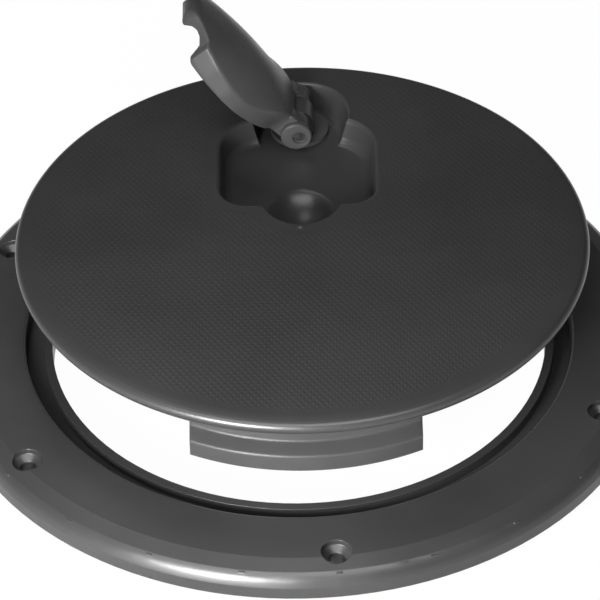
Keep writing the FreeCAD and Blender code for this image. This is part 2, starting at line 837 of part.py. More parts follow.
def make_pin():
    body = new_body("pivot_pin")
    sketch = new_sketch(body, "XZ_Plane")
    circle(sketch, "0", "0", "PinRadius")
    extrude(body, sketch, "Pad", "HeadWidth + 2 * (SideGap + EarWidth) - 0.4", both=True)
    place_on_post(body, value("LeverRaise"))
    return body


pieces = [
    make_ring(), make_lid(), make_gasket(), make_tongue(), make_bush(), make_thrust_washer(),
    make_post(), make_seal_ring(), make_dog(), make_flat_washer(), make_nut(), make_lever(),
    make_pin(),
]
doc.recompute()

faults = [item.Name for item in doc.Objects if "Invalid" in item.State or "Error" in item.State]
for piece in pieces:
    if piece.Shape.isNull() or not piece.Shape.isValid() or len(piece.Shape.Solids) != 1:
        faults.append(piece.Label)
if faults:
    raise RuntimeError("these did not build: " + ", ".join(faults))

os.makedirs("parts", exist_ok=True)
for piece in pieces:
    piece.Shape.exportStep("parts/%s.step" % piece.Label)
    box = piece.Shape.BoundBox
    print("%-16s volume %9.1f  x %.1f..%.1f  y %.1f..%.1f  z %.1f..%.1f" % (
        piece.Label, piece.Shape.Volume, box.XMin, box.XMax, box.YMin, box.YMax, box.ZMin, box.ZMax))
print("cam travel %.3f, lid top %.2f" % (value(travel), lid_top))
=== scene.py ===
import math

import bpy
import numpy as np
from mathutils import Matrix, Vector


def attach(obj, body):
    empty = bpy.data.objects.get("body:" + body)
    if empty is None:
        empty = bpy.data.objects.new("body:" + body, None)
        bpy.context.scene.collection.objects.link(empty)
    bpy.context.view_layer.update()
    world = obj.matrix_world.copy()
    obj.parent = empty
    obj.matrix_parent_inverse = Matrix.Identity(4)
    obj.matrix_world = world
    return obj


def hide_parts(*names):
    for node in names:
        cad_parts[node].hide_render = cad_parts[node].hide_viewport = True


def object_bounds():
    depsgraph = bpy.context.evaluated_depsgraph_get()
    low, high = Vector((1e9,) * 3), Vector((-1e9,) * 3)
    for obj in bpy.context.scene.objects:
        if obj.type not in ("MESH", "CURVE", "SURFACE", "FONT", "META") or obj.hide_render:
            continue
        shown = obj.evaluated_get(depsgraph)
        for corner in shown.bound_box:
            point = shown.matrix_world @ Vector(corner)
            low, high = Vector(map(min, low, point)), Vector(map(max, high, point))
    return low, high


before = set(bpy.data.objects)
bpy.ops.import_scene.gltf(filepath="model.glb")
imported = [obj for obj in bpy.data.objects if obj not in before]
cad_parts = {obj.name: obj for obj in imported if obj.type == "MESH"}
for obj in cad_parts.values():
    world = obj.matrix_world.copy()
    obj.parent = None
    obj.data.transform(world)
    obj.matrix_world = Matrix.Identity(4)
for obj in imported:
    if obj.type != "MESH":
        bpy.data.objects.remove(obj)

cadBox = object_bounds()
mm = 0.001
tiny = 1e-6


# camera: the photograph's own lens and place, read from the ring's circles; it stands back by the
# distance at the elevation, and is then panned, tilted and rolled
def makeCamera():
    settings = {"focalPixels": 3356.3, "imagePixels": 600.0, "sensor": 36.0, "elevation": 40.402,
                "distance": 1.10725, "targetHeight": 0.0095, "pan": -0.0324, "tilt": 0.4688,
                "roll": 1.155, "clip": (0.05, 20.0)}
    e = math.radians(settings["elevation"])
    d = settings["distance"]
    offset = Vector((0.0, -d * math.cos(e), d * math.sin(e)))
    forward = -offset.normalized()
    right = Vector((1.0, 0.0, 0.0))
    up = right.cross(forward)
    pan = Matrix.Rotation(math.radians(settings["pan"]), 3, up)
    tilt = Matrix.Rotation(math.radians(settings["tilt"]), 3, right)
    forward = tilt @ pan @ forward
    right = tilt @ pan @ right
    right = Matrix.Rotation(math.radians(settings["roll"]), 3, forward) @ right
    up = right.cross(forward)
    data = bpy.data.cameras.new("camera")
    data.sensor_width = settings["sensor"]
    data.sensor_fit = "HORIZONTAL"
    data.lens = settings["focalPixels"] * settings["sensor"] / settings["imagePixels"]
    data.clip_start, data.clip_end = settings["clip"]
    camera = bpy.data.objects.new("camera", data)
    bpy.context.scene.collection.objects.link(camera)
    turn = Matrix((right, up, -forward)).transposed().to_4x4()
    place = Matrix.Translation(offset + Vector((0.0, 0.0, settings["targetHeight"])))
    camera.matrix_world = place @ turn
    bpy.context.scene.camera = camera


makeCamera()
print("camera placed")


# a new material with its nodes, its links and its shader
def newMaterial(name):
    material = bpy.data.materials.new(name)
    material.use_nodes = True
    nodes = material.node_tree.nodes
    return material, nodes, material.node_tree.links, nodes["Principled BSDF"]


# a Math node, fed by numbers or by other nodes
def math2(nodes, links, kind, a, b=None):
    node = nodes.new("ShaderNodeMath")
    node.operation = kind
    for socket, source in zip(node.inputs, (a, b)):
        if source is None:
            continue
        if isinstance(source, (int, float)):
            socket.default_value = source
        else:
            links.new(source, socket)
    return node.outputs[0]


# a noise with so many waves to the metre
def noise(nodes, links, coords, scale, detail, rough=0.5):
    node = nodes.new("ShaderNodeTexNoise")
    node.inputs["Scale"].default_value = scale
    node.inputs["Detail"].default_value = detail
    node.inputs["Roughness"].default_value = rough
    links.new(coords, node.inputs["Vector"])
    return node.outputs["Fac"]


noiseSpan = (0.3, 0.7)  # where a noise mostly lies


# a straight ramp that carries one span of values to another and is held at its ends
def ramp(nodes, links, source, span, values):
    node = nodes.new("ShaderNodeMapRange")
    links.new(source, node.inputs["Value"])
    node.inputs["From Min"].default_value, node.inputs["From Max"].default_value = span
    node.inputs["To Min"].default_value, node.inputs["To Max"].default_value = values
    return node.outputs["Result"]


# the shader's colour, its darker tone mixed with its lighter one by a noise
def mixTones(nodes, links, shader, source, settings):
    mix = nodes.new("ShaderNodeMix")
    mix.data_type = "RGBA"
    links.new(ramp(nodes, links, source, noiseSpan, (0.0, 1.0)), mix.inputs["Factor"])
    mix.inputs["A"].default_value = (*settings["dark"], 1.0)
    mix.inputs["B"].default_value = (*settings["light"], 1.0)
    links.new(mix.outputs["Result"], shader.inputs["Base Color"])


# a Bump node over a height of 0 to 1
def addBump(nodes, links, height, strength, distance):
    bump = nodes.new("ShaderNodeBump")
    bump.inputs["Strength"].default_value = strength
    bump.inputs["Distance"].default_value = distance
    links.new(height, bump.inputs["Height"])
    return bump


# moulded plastic: a dark base with a faint cloudy tone, uneven gloss and a fine grain; a finish
# with an edge turns its shading over at sharp corners, the way a mould's radius does
def plastic(name, settings):
    shared = {"cloudDetail": 3.0, "smearDetail": 5.0, "smearRough": 0.6, "grainDetail": 2.0,
              "grainDepth": 0.2 * mm, "edgeSamples": 6, "ior": 1.5, "specular": 0.5}
    material, nodes, links, shader = newMaterial(name)
    coords = nodes.new("ShaderNodeTexCoord").outputs["Object"]
    cloud = noise(nodes, links, coords, settings["cloudScale"], shared["cloudDetail"])
    mixTones(nodes, links, shader, cloud, settings)
    smear = noise(nodes, links, coords, settings["smearScale"], shared["smearDetail"],
                  shared["smearRough"])
    rough = ramp(nodes, links, smear, noiseSpan, settings["roughness"])
    links.new(rough, shader.inputs["Roughness"])
    shader.inputs["IOR"].default_value = shared["ior"]
    specular = settings.get("specular", shared["specular"])
    shader.inputs["Specular IOR Level"].default_value = specular
    grain = noise(nodes, links, coords, settings["grainScale"], shared["grainDetail"])
    bump = addBump(nodes, links, grain, settings["grain"], shared["grainDepth"])
    if settings.get("edge"):
        bevel = nodes.new("ShaderNodeBevel")
        bevel.samples = shared["edgeSamples"]
        bevel.inputs["Radius"].default_value = settings["edge"]
        links.new(bevel.outputs["Normal"], bump.inputs["Normal"])
    links.new(bump.outputs["Normal"], shader.inputs["Normal"])
    return material, nodes, links, shader, bump


# brushed steel: a noise made finer along one axis mixes its tones and its gloss, and lifts a bump
def steel(name, settings):
    shared = {"stretch": (1.0, 6.0, 1.0), "brushScale": 900.0, "brushDetail": 3.0,
              "brush": 0.15, "brushDepth": 0.05 * mm}
    material, nodes, links, shader = newMaterial(name)
    coords = nodes.new("ShaderNodeTexCoord").outputs["Object"]
    stretch = nodes.new("ShaderNodeMapping")
    stretch.inputs["Scale"].default_value = shared["stretch"]
    links.new(coords, stretch.inputs["Vector"])
    brushed = noise(nodes, links, stretch.outputs["Vector"], shared["brushScale"],
                    shared["brushDetail"])
    mixTones(nodes, links, shader, brushed, settings)
    shader.inputs["Metallic"].default_value = 1.0
    rough = ramp(nodes, links, brushed, noiseSpan, settings["roughness"])
    links.new(rough, shader.inputs["Roughness"])
    bump = addBump(nodes, links, brushed, shared["brush"], shared["brushDepth"])
    links.new(bump.outputs["Normal"], shader.inputs["Normal"])
    return material


ringPlastic = plastic("ring_plastic", {
    "dark": (0.020, 0.020, 0.020), "light": (0.028, 0.028, 0.028), "cloudScale": 18.0,
    "smearScale": 60.0, "roughness": (0.27, 0.38), "grainScale": 2600.0, "grain": 0.10,
    "edge": 0.4 * mm})[0]
# tongue: a lighter copy of the lid's plastic at about twice its tone; painted light that stands
# for the front light on the tongue's faces
tonguePlasticPaintedLight = plastic("tongue_plastic_painted_light", {
    "dark": (0.038, 0.038, 0.038), "light": (0.050, 0.050, 0.050), "cloudScale": 30.0,
    "smearScale": 90.0, "roughness": (0.30, 0.40), "grainScale": 2600.0, "grain": 0.10,
    "edge": 1.2 * mm})[0]
# lever: a lighter copy of the dark plastic; painted light, its tone raised so the near side wall
# shows lit, while the low specular keeps the top dark
leverPlasticPaintedLight = plastic("lever_plastic_painted_light", {
    "dark": (0.034, 0.034, 0.034), "light": (0.044, 0.044, 0.044), "cloudScale": 40.0,
    "smearScale": 120.0, "roughness": (0.26, 0.36), "grainScale": 3200.0, "grain": 0.06,
    "specular": 0.10})[0]
latchPlastic = plastic("latch_plastic", {
    "dark": (0.020, 0.020, 0.021), "light": (0.030, 0.030, 0.031), "cloudScale": 60.0,
    "smearScale": 160.0, "roughness": (0.30, 0.42), "grainScale": 3200.0, "grain": 0.10,
    "edge": 0.6 * mm})[0]
bearingPlastic = plastic("bearing_plastic", {
    "dark": (0.022, 0.022, 0.022), "light": (0.032, 0.032, 0.031), "cloudScale": 60.0,
    "smearScale": 160.0, "roughness": (0.35, 0.48), "grainScale": 3200.0, "grain": 0.08,
    "edge": 0.3 * mm})[0]
sealRubber = plastic("seal_rubber", {
    "dark": (0.012, 0.012, 0.012), "light": (0.020, 0.020, 0.020), "cloudScale": 50.0,
    "smearScale": 200.0, "roughness": (0.62, 0.78), "grainScale": 2400.0, "grain": 0.30})[0]
brightSteel = steel("bright_steel", {
    "dark": (0.54, 0.54, 0.55), "light": (0.64, 0.64, 0.65), "roughness": (0.22, 0.36)})
pinSteel = steel("pin_steel", {
    "dark": (0.10, 0.10, 0.10), "light": (0.14, 0.14, 0.14), "roughness": (0.30, 0.45)})


# lid plastic: with the anti-slip tread of small staggered diamonds, whose height is the square of
# half the sum of two cosines, one across and one along; the surface's own attribute keeps it off
# the border and the pocket's margin
def lidPlastic():
    settings = {"dark": (0.018, 0.018, 0.018), "light": (0.026, 0.026, 0.026), "cloudScale": 14.0,
                "smearScale": 45.0, "roughness": (0.30, 0.35), "grainScale": 2600.0, "grain": 0.08}
    tread = {"across": 2.11 * mm, "along": 3.06 * mm, "height": 0.045 * mm, "strength": 1.0}
    material, nodes, links, shader, grainBump = plastic("lid_plastic", settings)
    split = nodes.new("ShaderNodeSeparateXYZ")
    links.new(nodes.new("ShaderNodeTexCoord").outputs["Object"], split.inputs["Vector"])
    across = math2(nodes, links, "MULTIPLY", split.outputs["X"], 2 * math.pi / tread["across"])
    along = math2(nodes, links, "MULTIPLY", split.outputs["Y"], 2 * math.pi / tread["along"])
    total = math2(nodes, links, "ADD", math2(nodes, links, "COSINE", across),
                  math2(nodes, links, "COSINE", along))
    half = math2(nodes, links, "MULTIPLY", total, 0.5)
    diamonds = math2(nodes, links, "MULTIPLY", half, half)
    attribute = nodes.new("ShaderNodeAttribute")
    attribute.attribute_name = "tread"
    height = math2(nodes, links, "MULTIPLY", diamonds, attribute.outputs["Fac"])
    bump = addBump(nodes, links, height, tread["strength"], tread["height"])
    links.new(grainBump.outputs["Normal"], bump.inputs["Normal"])
    links.new(bump.outputs["Normal"], shader.inputs["Normal"])
    return material


lidMaterial = lidPlastic()
print("materials made")


# a closed surface from a stack of loops, each with the same number of points; a pole closes each
# end with a fan, or the last loop joins the first; the faces are turned round where each one's
# place from the middle of all points, times its area's direction, adds up to less than nothing
def addLoops(name, loops, material, body, joined=False, attribute=None, sharp=None):
    rings, count = loops.shape[0], loops.shape[1]
    points = loops.reshape(-1, 3)
    index = np.arange(rings * count).reshape(rings, count)
    after = np.roll(index, -1, axis=1)
    if joined:
        quads = np.stack([index, after, np.roll(after, -1, 0), np.roll(index, -1, 0)], -1)
    else:
        quads = np.stack([index[:-1], after[:-1], after[1:], index[1:]], -1)
    quads = quads.reshape(-1, 4)
    faces = quads.tolist()
    if not joined:
        points = np.vstack([points, loops[0].mean(0), loops[-1].mean(0)])
        first, last = rings * count, rings * count + 1
        faces += [[int(b), int(a), first] for a, b in zip(index[0], after[0])]
        faces += [[int(a), int(b), last] for a, b in zip(index[-1], after[-1])]
    corners = points[quads]
    side = np.cross(corners[:, 2] - corners[:, 0], corners[:, 3] - corners[:, 1])
    if ((corners.mean(1) - points.mean(0)) * side).sum() < 0:
        faces = [face[::-1] for face in faces]
    mesh = bpy.data.meshes.new(name)
    mesh.from_pydata(points.tolist(), [], faces)
    mesh.validate()
    mesh.polygons.foreach_set("use_smooth", np.ones(len(mesh.polygons), bool))
    if attribute is not None:
        layer = mesh.attributes.new(attribute[0], "FLOAT", "POINT")
        layer.data.foreach_set("value", np.append(attribute[1].ravel(), [0.0, 0.0]).astype("f4"))
    if sharp:
        mesh.set_sharp_from_angle(angle=math.radians(sharp))
    mesh.materials.append(material)
    piece = bpy.data.objects.new(name, mesh)
    bpy.context.scene.collection.objects.link(piece)
    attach(piece, body)
    return piece


# lid: millimetres in the lid's own frame, whose origin is the middle of its top face
lid = {"spot": (1.7, 9.3, 41.6), "radius": 93.6, "thick": 4.5, "pocketCentre": (-0.5, 42.0),
       "half": 26.0, "aside": -1.0, "front": 16.0, "back": 63.0, "corner": 9.0, "shoulder": 16.0,
       "depth": 9.0, "wallRun": 1.9, "rimRound": 1.5, "floorRound": 3.0, "joinBand": 1.6,
       "joinShare": 0.6, "lobeY": 66.3, "lobeRadius": 16.7, "lobeRun": 4.6, "lobeSide": 2.0,
       "lobeTurn": (62.0, 75.0), "scoopY": 21.4, "scoopHalf": 13.8, "scoopLong": 16.2,
       "scoopDepth": 13.8, "scoopExtra": 0.67, "scoopSlope": 60.0, "scoopSoft": 0.9,
       "border": 87.8, "margin": 4.4, "pip": (-0.3, 3.8), "pipRadius": 0.6, "pipHeight": 0.45}


# the larger of two numbers; where they are less than k apart, a quarter of k is added, times the
# square of the share of k that is left between them
def softMax(a, b, k):
    h = np.maximum(k - np.abs(a - b), 0.0) / k
    return np.maximum(a, b) + h * h * k * 0.25


# width of the band where two depths join: a share of the deeper one, up to its full width
def joinBand(a, b):
    return np.minimum(lid["joinBand"], lid["joinShare"] * np.maximum(a, b)) + tiny


# distance outside a box outline with its own corner radius at the front and at the back
def boxDistance(x, y, grow=0.0):
    side = lid["half"] + grow
    near, far = lid["front"] - grow, lid["back"] + grow
    r = np.where(y < (near + far) / 2, lid["corner"], lid["shoulder"]) + grow
    qx = np.abs(x - lid["aside"]) - side + r
    qy = np.abs(y - (near + far) / 2) - (far - near) / 2 + r
    outside = np.hypot(np.maximum(qx, 0.0), np.maximum(qy, 0.0))
    return outside + np.minimum(np.maximum(qx, qy), 0.0) - r


# depth of a sloping wall by distance inside its outline: the distance times the slope's tangent,
# with a circle's arc at the rim and another at the foot
def wallDepth(inward, run, depth):
    slope = math.atan2(lid["depth"], run)
    deep = depth * run / lid["depth"]

    def corner(q, r):
        start = r * math.tan(slope / 2)
        s = np.clip(q + start, 0.0, r * math.sin(slope))
        arc = r - np.sqrt(np.maximum(r * r - s * s, 0.0))
        return np.where(q + start > r * math.sin(slope), q * math.tan(slope), arc)

    rising = corner(inward, lid["rimRound"])
    falling = depth - corner(deep - inward, lid["floorRound"])
    return np.where(inward < deep / 2, rising, falling)


# depth below the lid's top: the box and the lobe, whose wall is steeper at its sides, joined
# softly, and the scoop's bowl, whose depth is its full depth times the root of one less the
# squares of x and y over the bowl's half axes
def pocketDepth(x, y, grow=0.0, lobeGrow=0.0, extra=0.0):
    depth = lid["depth"] + extra
    box = wallDepth(-boxDistance(x, y, grow), lid["wallRun"], depth)
    lobeIn = lid["lobeRadius"] + lobeGrow - np.hypot(x, y - lid["lobeY"])
    first, last = lid["lobeTurn"]
    back = np.clip((y - first) / (last - first), 0.0, 1.0)
    run = lid["lobeSide"] + (lid["lobeRun"] - lid["lobeSide"]) * back
    lobe = wallDepth(lobeIn * lid["lobeRun"] / run, lid["lobeRun"], depth)
    out = np.hypot(x / (lid["scoopHalf"] + grow), (y - lid["scoopY"]) / (lid["scoopLong"] + grow))
    full = lid["scoopDepth"] + extra * lid["scoopExtra"]
    bowl = np.where(out < 1.0, full * np.sqrt(np.maximum(1.0 - out * out, 0.0)),
                    (1.0 - out) * lid["scoopSlope"])
    bowl = softMax(bowl, np.zeros_like(bowl), lid["scoopSoft"])
    both = np.minimum(softMax(box, lobe, joinBand(box, lobe)), depth)
    return softMax(both, bowl, joinBand(both, bowl))


# distance outside the pocket's whole outline: the least of those from the box, from the lobe and
# from the scoop's ellipse, which is worked out by the ellipse's slope
def rimDistance(x, y):
    lobe = np.hypot(x, y - lid["lobeY"]) - lid["lobeRadius"]
    a, b, sy = lid["scoopHalf"], lid["scoopLong"], y - lid["scoopY"]
    out = np.hypot(x / a, sy / b)
    scoop = out * (out - 1.0) / np.maximum(np.hypot(x / a ** 2, sy / b ** 2), tiny)
    return np.minimum(np.minimum(boxDistance(x, y), lobe), scoop)


# the lid's shell: rays run out from the pocket's middle, with rings placed by their distance from
# the pocket's rim, then spread to the lid's round edge, over it in half a circle and back below;
# its height is less the pocket's depth, and the pip adds a bell
def makeShell():
    settings = {"rays": 432, "search": 60.0, "searchStep": 0.05, "innerFrom": 0.04,
                "innerRings": 26, "deepLevel": 7.0, "rimLevel": 0.2, "wallTo": 1.7,
                "wallStep": 0.17, "marginFrom": 1.9, "marginPast": 1.2, "marginRings": 12,
                "outerRings": 26, "edgeSteps": 12, "belowRings": 12, "tubRings": 70,
                "tubLevel": 8.0, "tubMiddle": (0.95, 0.06), "tubWall": 2.0, "tubLobe": 1.3,
                "tubFloor": 3.0, "tubSoft": 0.5, "treadFade": 0.6}
    angle = np.linspace(0.0, 2 * math.pi, settings["rays"], endpoint=False)
    cx, cy = lid["pocketCentre"]
    dx, dy = np.cos(angle), np.sin(angle)
    along = np.arange(0.0, settings["search"], settings["searchStep"])
    distance = rimDistance(cx + np.outer(along, dx), cy + np.outer(along, dy))
    distance = np.maximum.accumulate(distance, axis=0) + along[:, None] * tiny
    dot = cx * dx + cy * dy

    def atLevel(level):
        return np.array([np.interp(level, distance[:, i], along) for i in range(len(angle))])

    def atEdge(radius):
        return -dot + np.sqrt(dot ** 2 + radius ** 2 - cx ** 2 - cy ** 2)

    def onRays(rays):
        return (np.array([cx + ray * dx for ray in rays]),
                np.array([cy + ray * dy for ray in rays]))

    deep, rim, fine = -settings["deepLevel"], -settings["rimLevel"], settings["wallStep"]
    end = settings["wallTo"]
    levels = np.concatenate([np.linspace(deep, rim, 1 + int((rim - deep) / fine)),
                             np.linspace(rim, end, 1 + int((end - rim) / fine))[1:]])
    middle = np.linspace(settings["innerFrom"], 1.0, settings["innerRings"], endpoint=False)
    inner = [atLevel(deep) * k for k in middle]
    wall = [atLevel(q) for q in levels]
    margin = [atLevel(q) for q in np.linspace(settings["marginFrom"],
                                              lid["margin"] + settings["marginPast"],
                                              settings["marginRings"])]
    flat = lid["radius"] - lid["thick"] / 2
    outward = [margin[-1] + (atEdge(flat) - margin[-1]) * k
               for k in np.linspace(0.0, 1.0, settings["outerRings"] + 1)[1:]]
    x, y = onRays(inner + wall + margin + outward)
    pip = np.hypot(x - lid["pip"][0], y - lid["pip"][1]) / lid["pipRadius"]
    z = -pocketDepth(x, y) + lid["pipHeight"] * np.exp(-pip * pip)
    loops = [np.stack([x, y, z], -1)]

    r = lid["thick"] / 2
    for t in np.linspace(0.0, math.pi, settings["edgeSteps"])[1:-1]:
        x, y = onRays([atEdge(flat + r * math.sin(t))])
        loops.append(np.stack([x, y, np.full_like(x, r * math.cos(t) - r)], -1))

    below = [margin[-1] + (atEdge(flat) - margin[-1]) * k
             for k in np.linspace(1.0, 0.0, settings["belowRings"])]
    level = -settings["tubLevel"]
    below += [atLevel(q) for q in np.linspace(lid["margin"], level, settings["tubRings"])]
    below += [atLevel(level) * k
              for k in np.linspace(*settings["tubMiddle"], settings["belowRings"])]
    x, y = onRays(below)
    tub = pocketDepth(x, y, grow=settings["tubWall"], lobeGrow=settings["tubLobe"],
                      extra=settings["tubFloor"])
    under = softMax(tub, np.full_like(tub, lid["thick"]), settings["tubSoft"])
    loops.append(np.stack([x, y, -under], -1))
    loops = np.concatenate(loops)

    x, y, z = np.moveaxis(loops, -1, 0)
    fade = settings["treadFade"]
    tread = np.clip((lid["border"] - np.hypot(x, y)) / fade, 0.0, 1.0)
    tread = tread * np.clip((rimDistance(x, y) - lid["margin"]) / fade, 0.0, 1.0)
    tread = tread * (z > -0.01)  # the flat top alone
    piece = addLoops("lid_shell", (loops + np.array(lid["spot"])) * mm, lidMaterial, "lid",
                     attribute=("tread", tread))
    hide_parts("lid")


# the lid's stiffener: a wall's profile of radius and height, swept about the lid's middle on an
# arc that stops at the lobe on both sides
def makeStiffener():
    settings = {"profile": [(70.0, -4.3), (72.5, -4.3), (72.5, -8.2), (72.2, -8.5),
                            (70.3, -8.5), (70.0, -8.2)],
                "gapHalf": 17.4, "gapRadius": 71.2, "steps": 180, "sharp": 35.0}
    radius, height = np.array(settings["profile"]).T
    gap = math.asin(settings["gapHalf"] / settings["gapRadius"])
    sweep = np.linspace(math.pi / 2 + gap, 2.5 * math.pi - gap, settings["steps"])[:, None]
    loops = np.stack([radius * np.cos(sweep), radius * np.sin(sweep), height + 0 * sweep], -1)
    addLoops("lid_stiffener", (loops + np.array(lid["spot"])) * mm, ringPlastic, "lid",
             sharp=settings["sharp"])


# the lid's boss, the sleeve below the pocket that the latch's bush sits in: its profile of radius
# and height is turned about the latch's axis
def makeBoss():
    settings = {"profile": [(5.6, -11.0), (5.6, -21.0), (8.1, -21.0), (8.56, -20.5),
                            (8.8, -11.0)],
                "fromMiddle": 67.2, "steps": 96, "sharp": 35.0}
    angle = np.linspace(0.0, 2 * math.pi, settings["steps"], endpoint=False)
    radius, height = np.array(settings["profile"]).T
    x, y, z = lid["spot"]
    loops = np.stack([x + np.outer(radius, np.cos(angle)),
                      y + settings["fromMiddle"] + np.outer(radius, np.sin(angle)),
                      z + np.outer(height, np.ones(len(angle)))], -1)
    addLoops("lid_boss", loops * mm, ringPlastic, "lid", joined=True,
             sharp=settings["sharp"])


makeShell()
makeStiffener()
makeBoss()
print("lid made")


# lever: millimetres in its own frame, whose origin is the pin's middle, u along the lever, v
# towards the front, w up; it stands raised at rest
lever = {"spot": (1.7, 76.5, 39.194), "raised": 50.5, "start": 6.05, "length": 59.5,
         "shoulder": 50.0, "crown": 26.0, "wall": 2.1, "edgeRound": 1.7, "lowRound": 0.5,
         "camCentre": (1.15, -0.6), "camRadius": 5.0, "hubRadius": 5.3, "earInner": 4.5,
         "earOuter": (12.8, 11.6), "pinHole": 2.35, "pinSeat": 1.86}


# places points of the lever's own frame where the raised lever stands: u and w are turned by the
# raised angle, and the lever points to the left
def onLever(u, v, w):
    r = math.radians(lever["raised"])
    x, y, z = lever["spot"]
    return np.stack([x - u * math.cos(r) + w * math.sin(r), y - v + 0 * u,
                     z + u * math.sin(r) + w * math.cos(r)], -1) * mm


# straight lines through knots, averaged under a bell of the given width
def faired(u, knots, values, blur):
    step = 0.05
    fine = np.arange(-10.0, 75.0, step)
    line = np.interp(fine, knots, values)
    reach = np.arange(-4 * blur, 4 * blur + step, step)
    bell = np.exp(-0.5 * (reach / blur) ** 2)
    line = np.convolve(np.pad(line, len(bell) // 2, mode="edge"), bell / bell.sum(), "valid")
    return np.interp(u, fine, line[:len(fine)])


# lever cover: a section for each place u along it; its top is an arc across, v squared over twice
# the crown's radius below the middle line, which is itself an arc along; rounded edges lead into
# the side walls, deep on the near side and shallow on the far one, and a cavity lies between
def makeLeverCover():
    settings = {
        "stations": [(lever["start"], 12.0, 20), (12.0, 44.0, 60), (44.0, 48.8, 24),
                     (48.8, 51.4, 40), (51.4, 56.0, 20)],
        "tipStations": 36, "tipRun": 3.5, "tipShort": 0.04,
        "bodyKnots": [4, 8, 10, 14, 20, 27, 34, 42, 50, 54],
        "bodyHalf": [10.7, 10.8, 11.9, 14.8, 17.6, 19.7, 19.5, 17.7, 14.2, 12.4],
        "bodyBlur": 1.3,
        "noseKnots": [50.0, 50.5, 53.0, 55.5, 57.2, 59.5],
        "noseHalf": [12.9, 12.4, 10.2, 8.2, 6.8, 4.8],
        "shoulderLead": 0.5, "shoulderRun": 0.9, "tipSide": 1.6, "tipDraw": 2.2,
        "tipShare": 0.98, "topHeight": 2.8, "topFrom": 5.15, "topRise": 2.4, "topTo": 58.0,
        "topArc": 260.0, "tipRound": 3.4, "tipReach": 3.38, "tipFall": 0.95,
        "skirtKnots": [9.8, 10.9], "skirtLow": [-5.6, -6.4], "cornerFrom": 47.7,
        "cornerRound": 2.6, "cornerReach": 2.5,
        "hookKnots": [50.0, 51.2, 52.6, 54.4, 56.0, 57.0, 57.5, 58.2, 58.9, 59.5],
        "hookLow": [-1.1, 0.0, 1.1, 1.5, 0.7, -0.9, -1.7, -1.7, -0.9, 0.9], "hookBlur": 0.18,
        "farKnots": [0, 19.6, 20.4, 50], "farLow": [-1.0, -1.0, -2.6, -2.6], "farBlur": 0.15,
        "cavityFrom": 8.3, "cavityStep": 20.0, "cavityHigh": (-0.98, -1.6), "cavityGap": 0.02,
        "bendKnots": [0, 7, 19, 23, 60], "bendShare": [0.08, 0.16, 0.97, 1.0, 1.0],
        "bendBlur": 2.0, "roundShare": 0.42, "lowShare": 0.15, "wallShare": 0.5,
        "edgePoints": 9, "sidePoints": 6, "lowPoints": 5, "topPoints": 41, "underPoints": 13,
        "sharp": 50.0}
    end, shoulder, gap = lever["length"], lever["shoulder"], settings["cavityGap"]
    turn = np.linspace(0.0, math.pi / 2 - settings["tipShort"], settings["tipStations"])
    runs = [np.linspace(*run) for run in settings["stations"]]
    u = np.unique(np.concatenate([*runs, end - settings["tipRun"] * (1 - np.sin(turn))]))

    # half width: the body's, then the nose's past the shoulder, drawn in at the tip
    body = faired(u, settings["bodyKnots"], settings["bodyHalf"], settings["bodyBlur"])
    nose = np.interp(u, settings["noseKnots"], settings["noseHalf"])
    blend = np.clip((u - shoulder + settings["shoulderLead"]) / settings["shoulderRun"], 0.0, 1.0)
    blend = blend * blend * (3 - 2 * blend)
    half = body + (nose - body) * blend
    tip = np.clip((u - (end - settings["tipSide"])) / settings["tipSide"], 0.0, 1.0)
    half = half - settings["tipDraw"] * (1.0 - np.sqrt(1.0 - settings["tipShare"] * tip * tip))

    # middle line of the top, which falls round a quarter circle at the tip
    past, left = u - settings["topFrom"], settings["topTo"] - u
    run = settings["topTo"] - settings["topFrom"]
    top = settings["topHeight"] + past * settings["topRise"] / run
    top = top + past * left / settings["topArc"]
    r = settings["tipRound"]
    fall = np.clip(u - (end - r), 0.0, settings["tipReach"])
    top = top - (r - np.sqrt(r ** 2 - fall ** 2)) * settings["tipFall"]

    # lower edges of the near and the far wall, and the cavity's roof
    skirt = np.interp(u, settings["skirtKnots"], settings["skirtLow"])
    r = settings["cornerRound"]
    rise = np.clip(u - settings["cornerFrom"], 0.0, settings["cornerReach"])
    skirt = skirt + r - np.sqrt(r ** 2 - rise ** 2)
    hook = faired(u, settings["hookKnots"], settings["hookLow"], settings["hookBlur"])
    near = skirt + (hook - skirt) * blend
    far = faired(u, settings["farKnots"], settings["farLow"], settings["farBlur"])
    far = np.maximum(far, skirt)
    far = far + (hook - far) * blend
    cavity = np.where(u < settings["cavityStep"], *settings["cavityHigh"])
    cavity = np.where(u > settings["cavityFrom"], cavity, near + gap)
    cavity = np.maximum(cavity + (hook - cavity) * blend, near + gap)

    # the top's bend across, and the rounding where it meets the walls
    bend = faired(u, settings["bendKnots"], settings["bendShare"], settings["bendBlur"])
    bend = bend / (2 * lever["crown"])
    share = settings["roundShare"]
    r = np.minimum(np.minimum(lever["edgeRound"], share * half),
                   share * (top - np.maximum(near, far)))
    lean = np.zeros_like(u)
    for _ in range(3):
        lean = np.arctan((half - r + r * np.sin(lean)) * 2 * bend)
    edge = half - r + r * np.sin(lean)
    low = top - edge ** 2 * bend - r * np.cos(lean)
    e = np.minimum(lever["lowRound"], settings["lowShare"] * half)
    wall = np.minimum(lever["wall"], settings["wallShare"] * half)

    def col(a):
        return a[:, None]

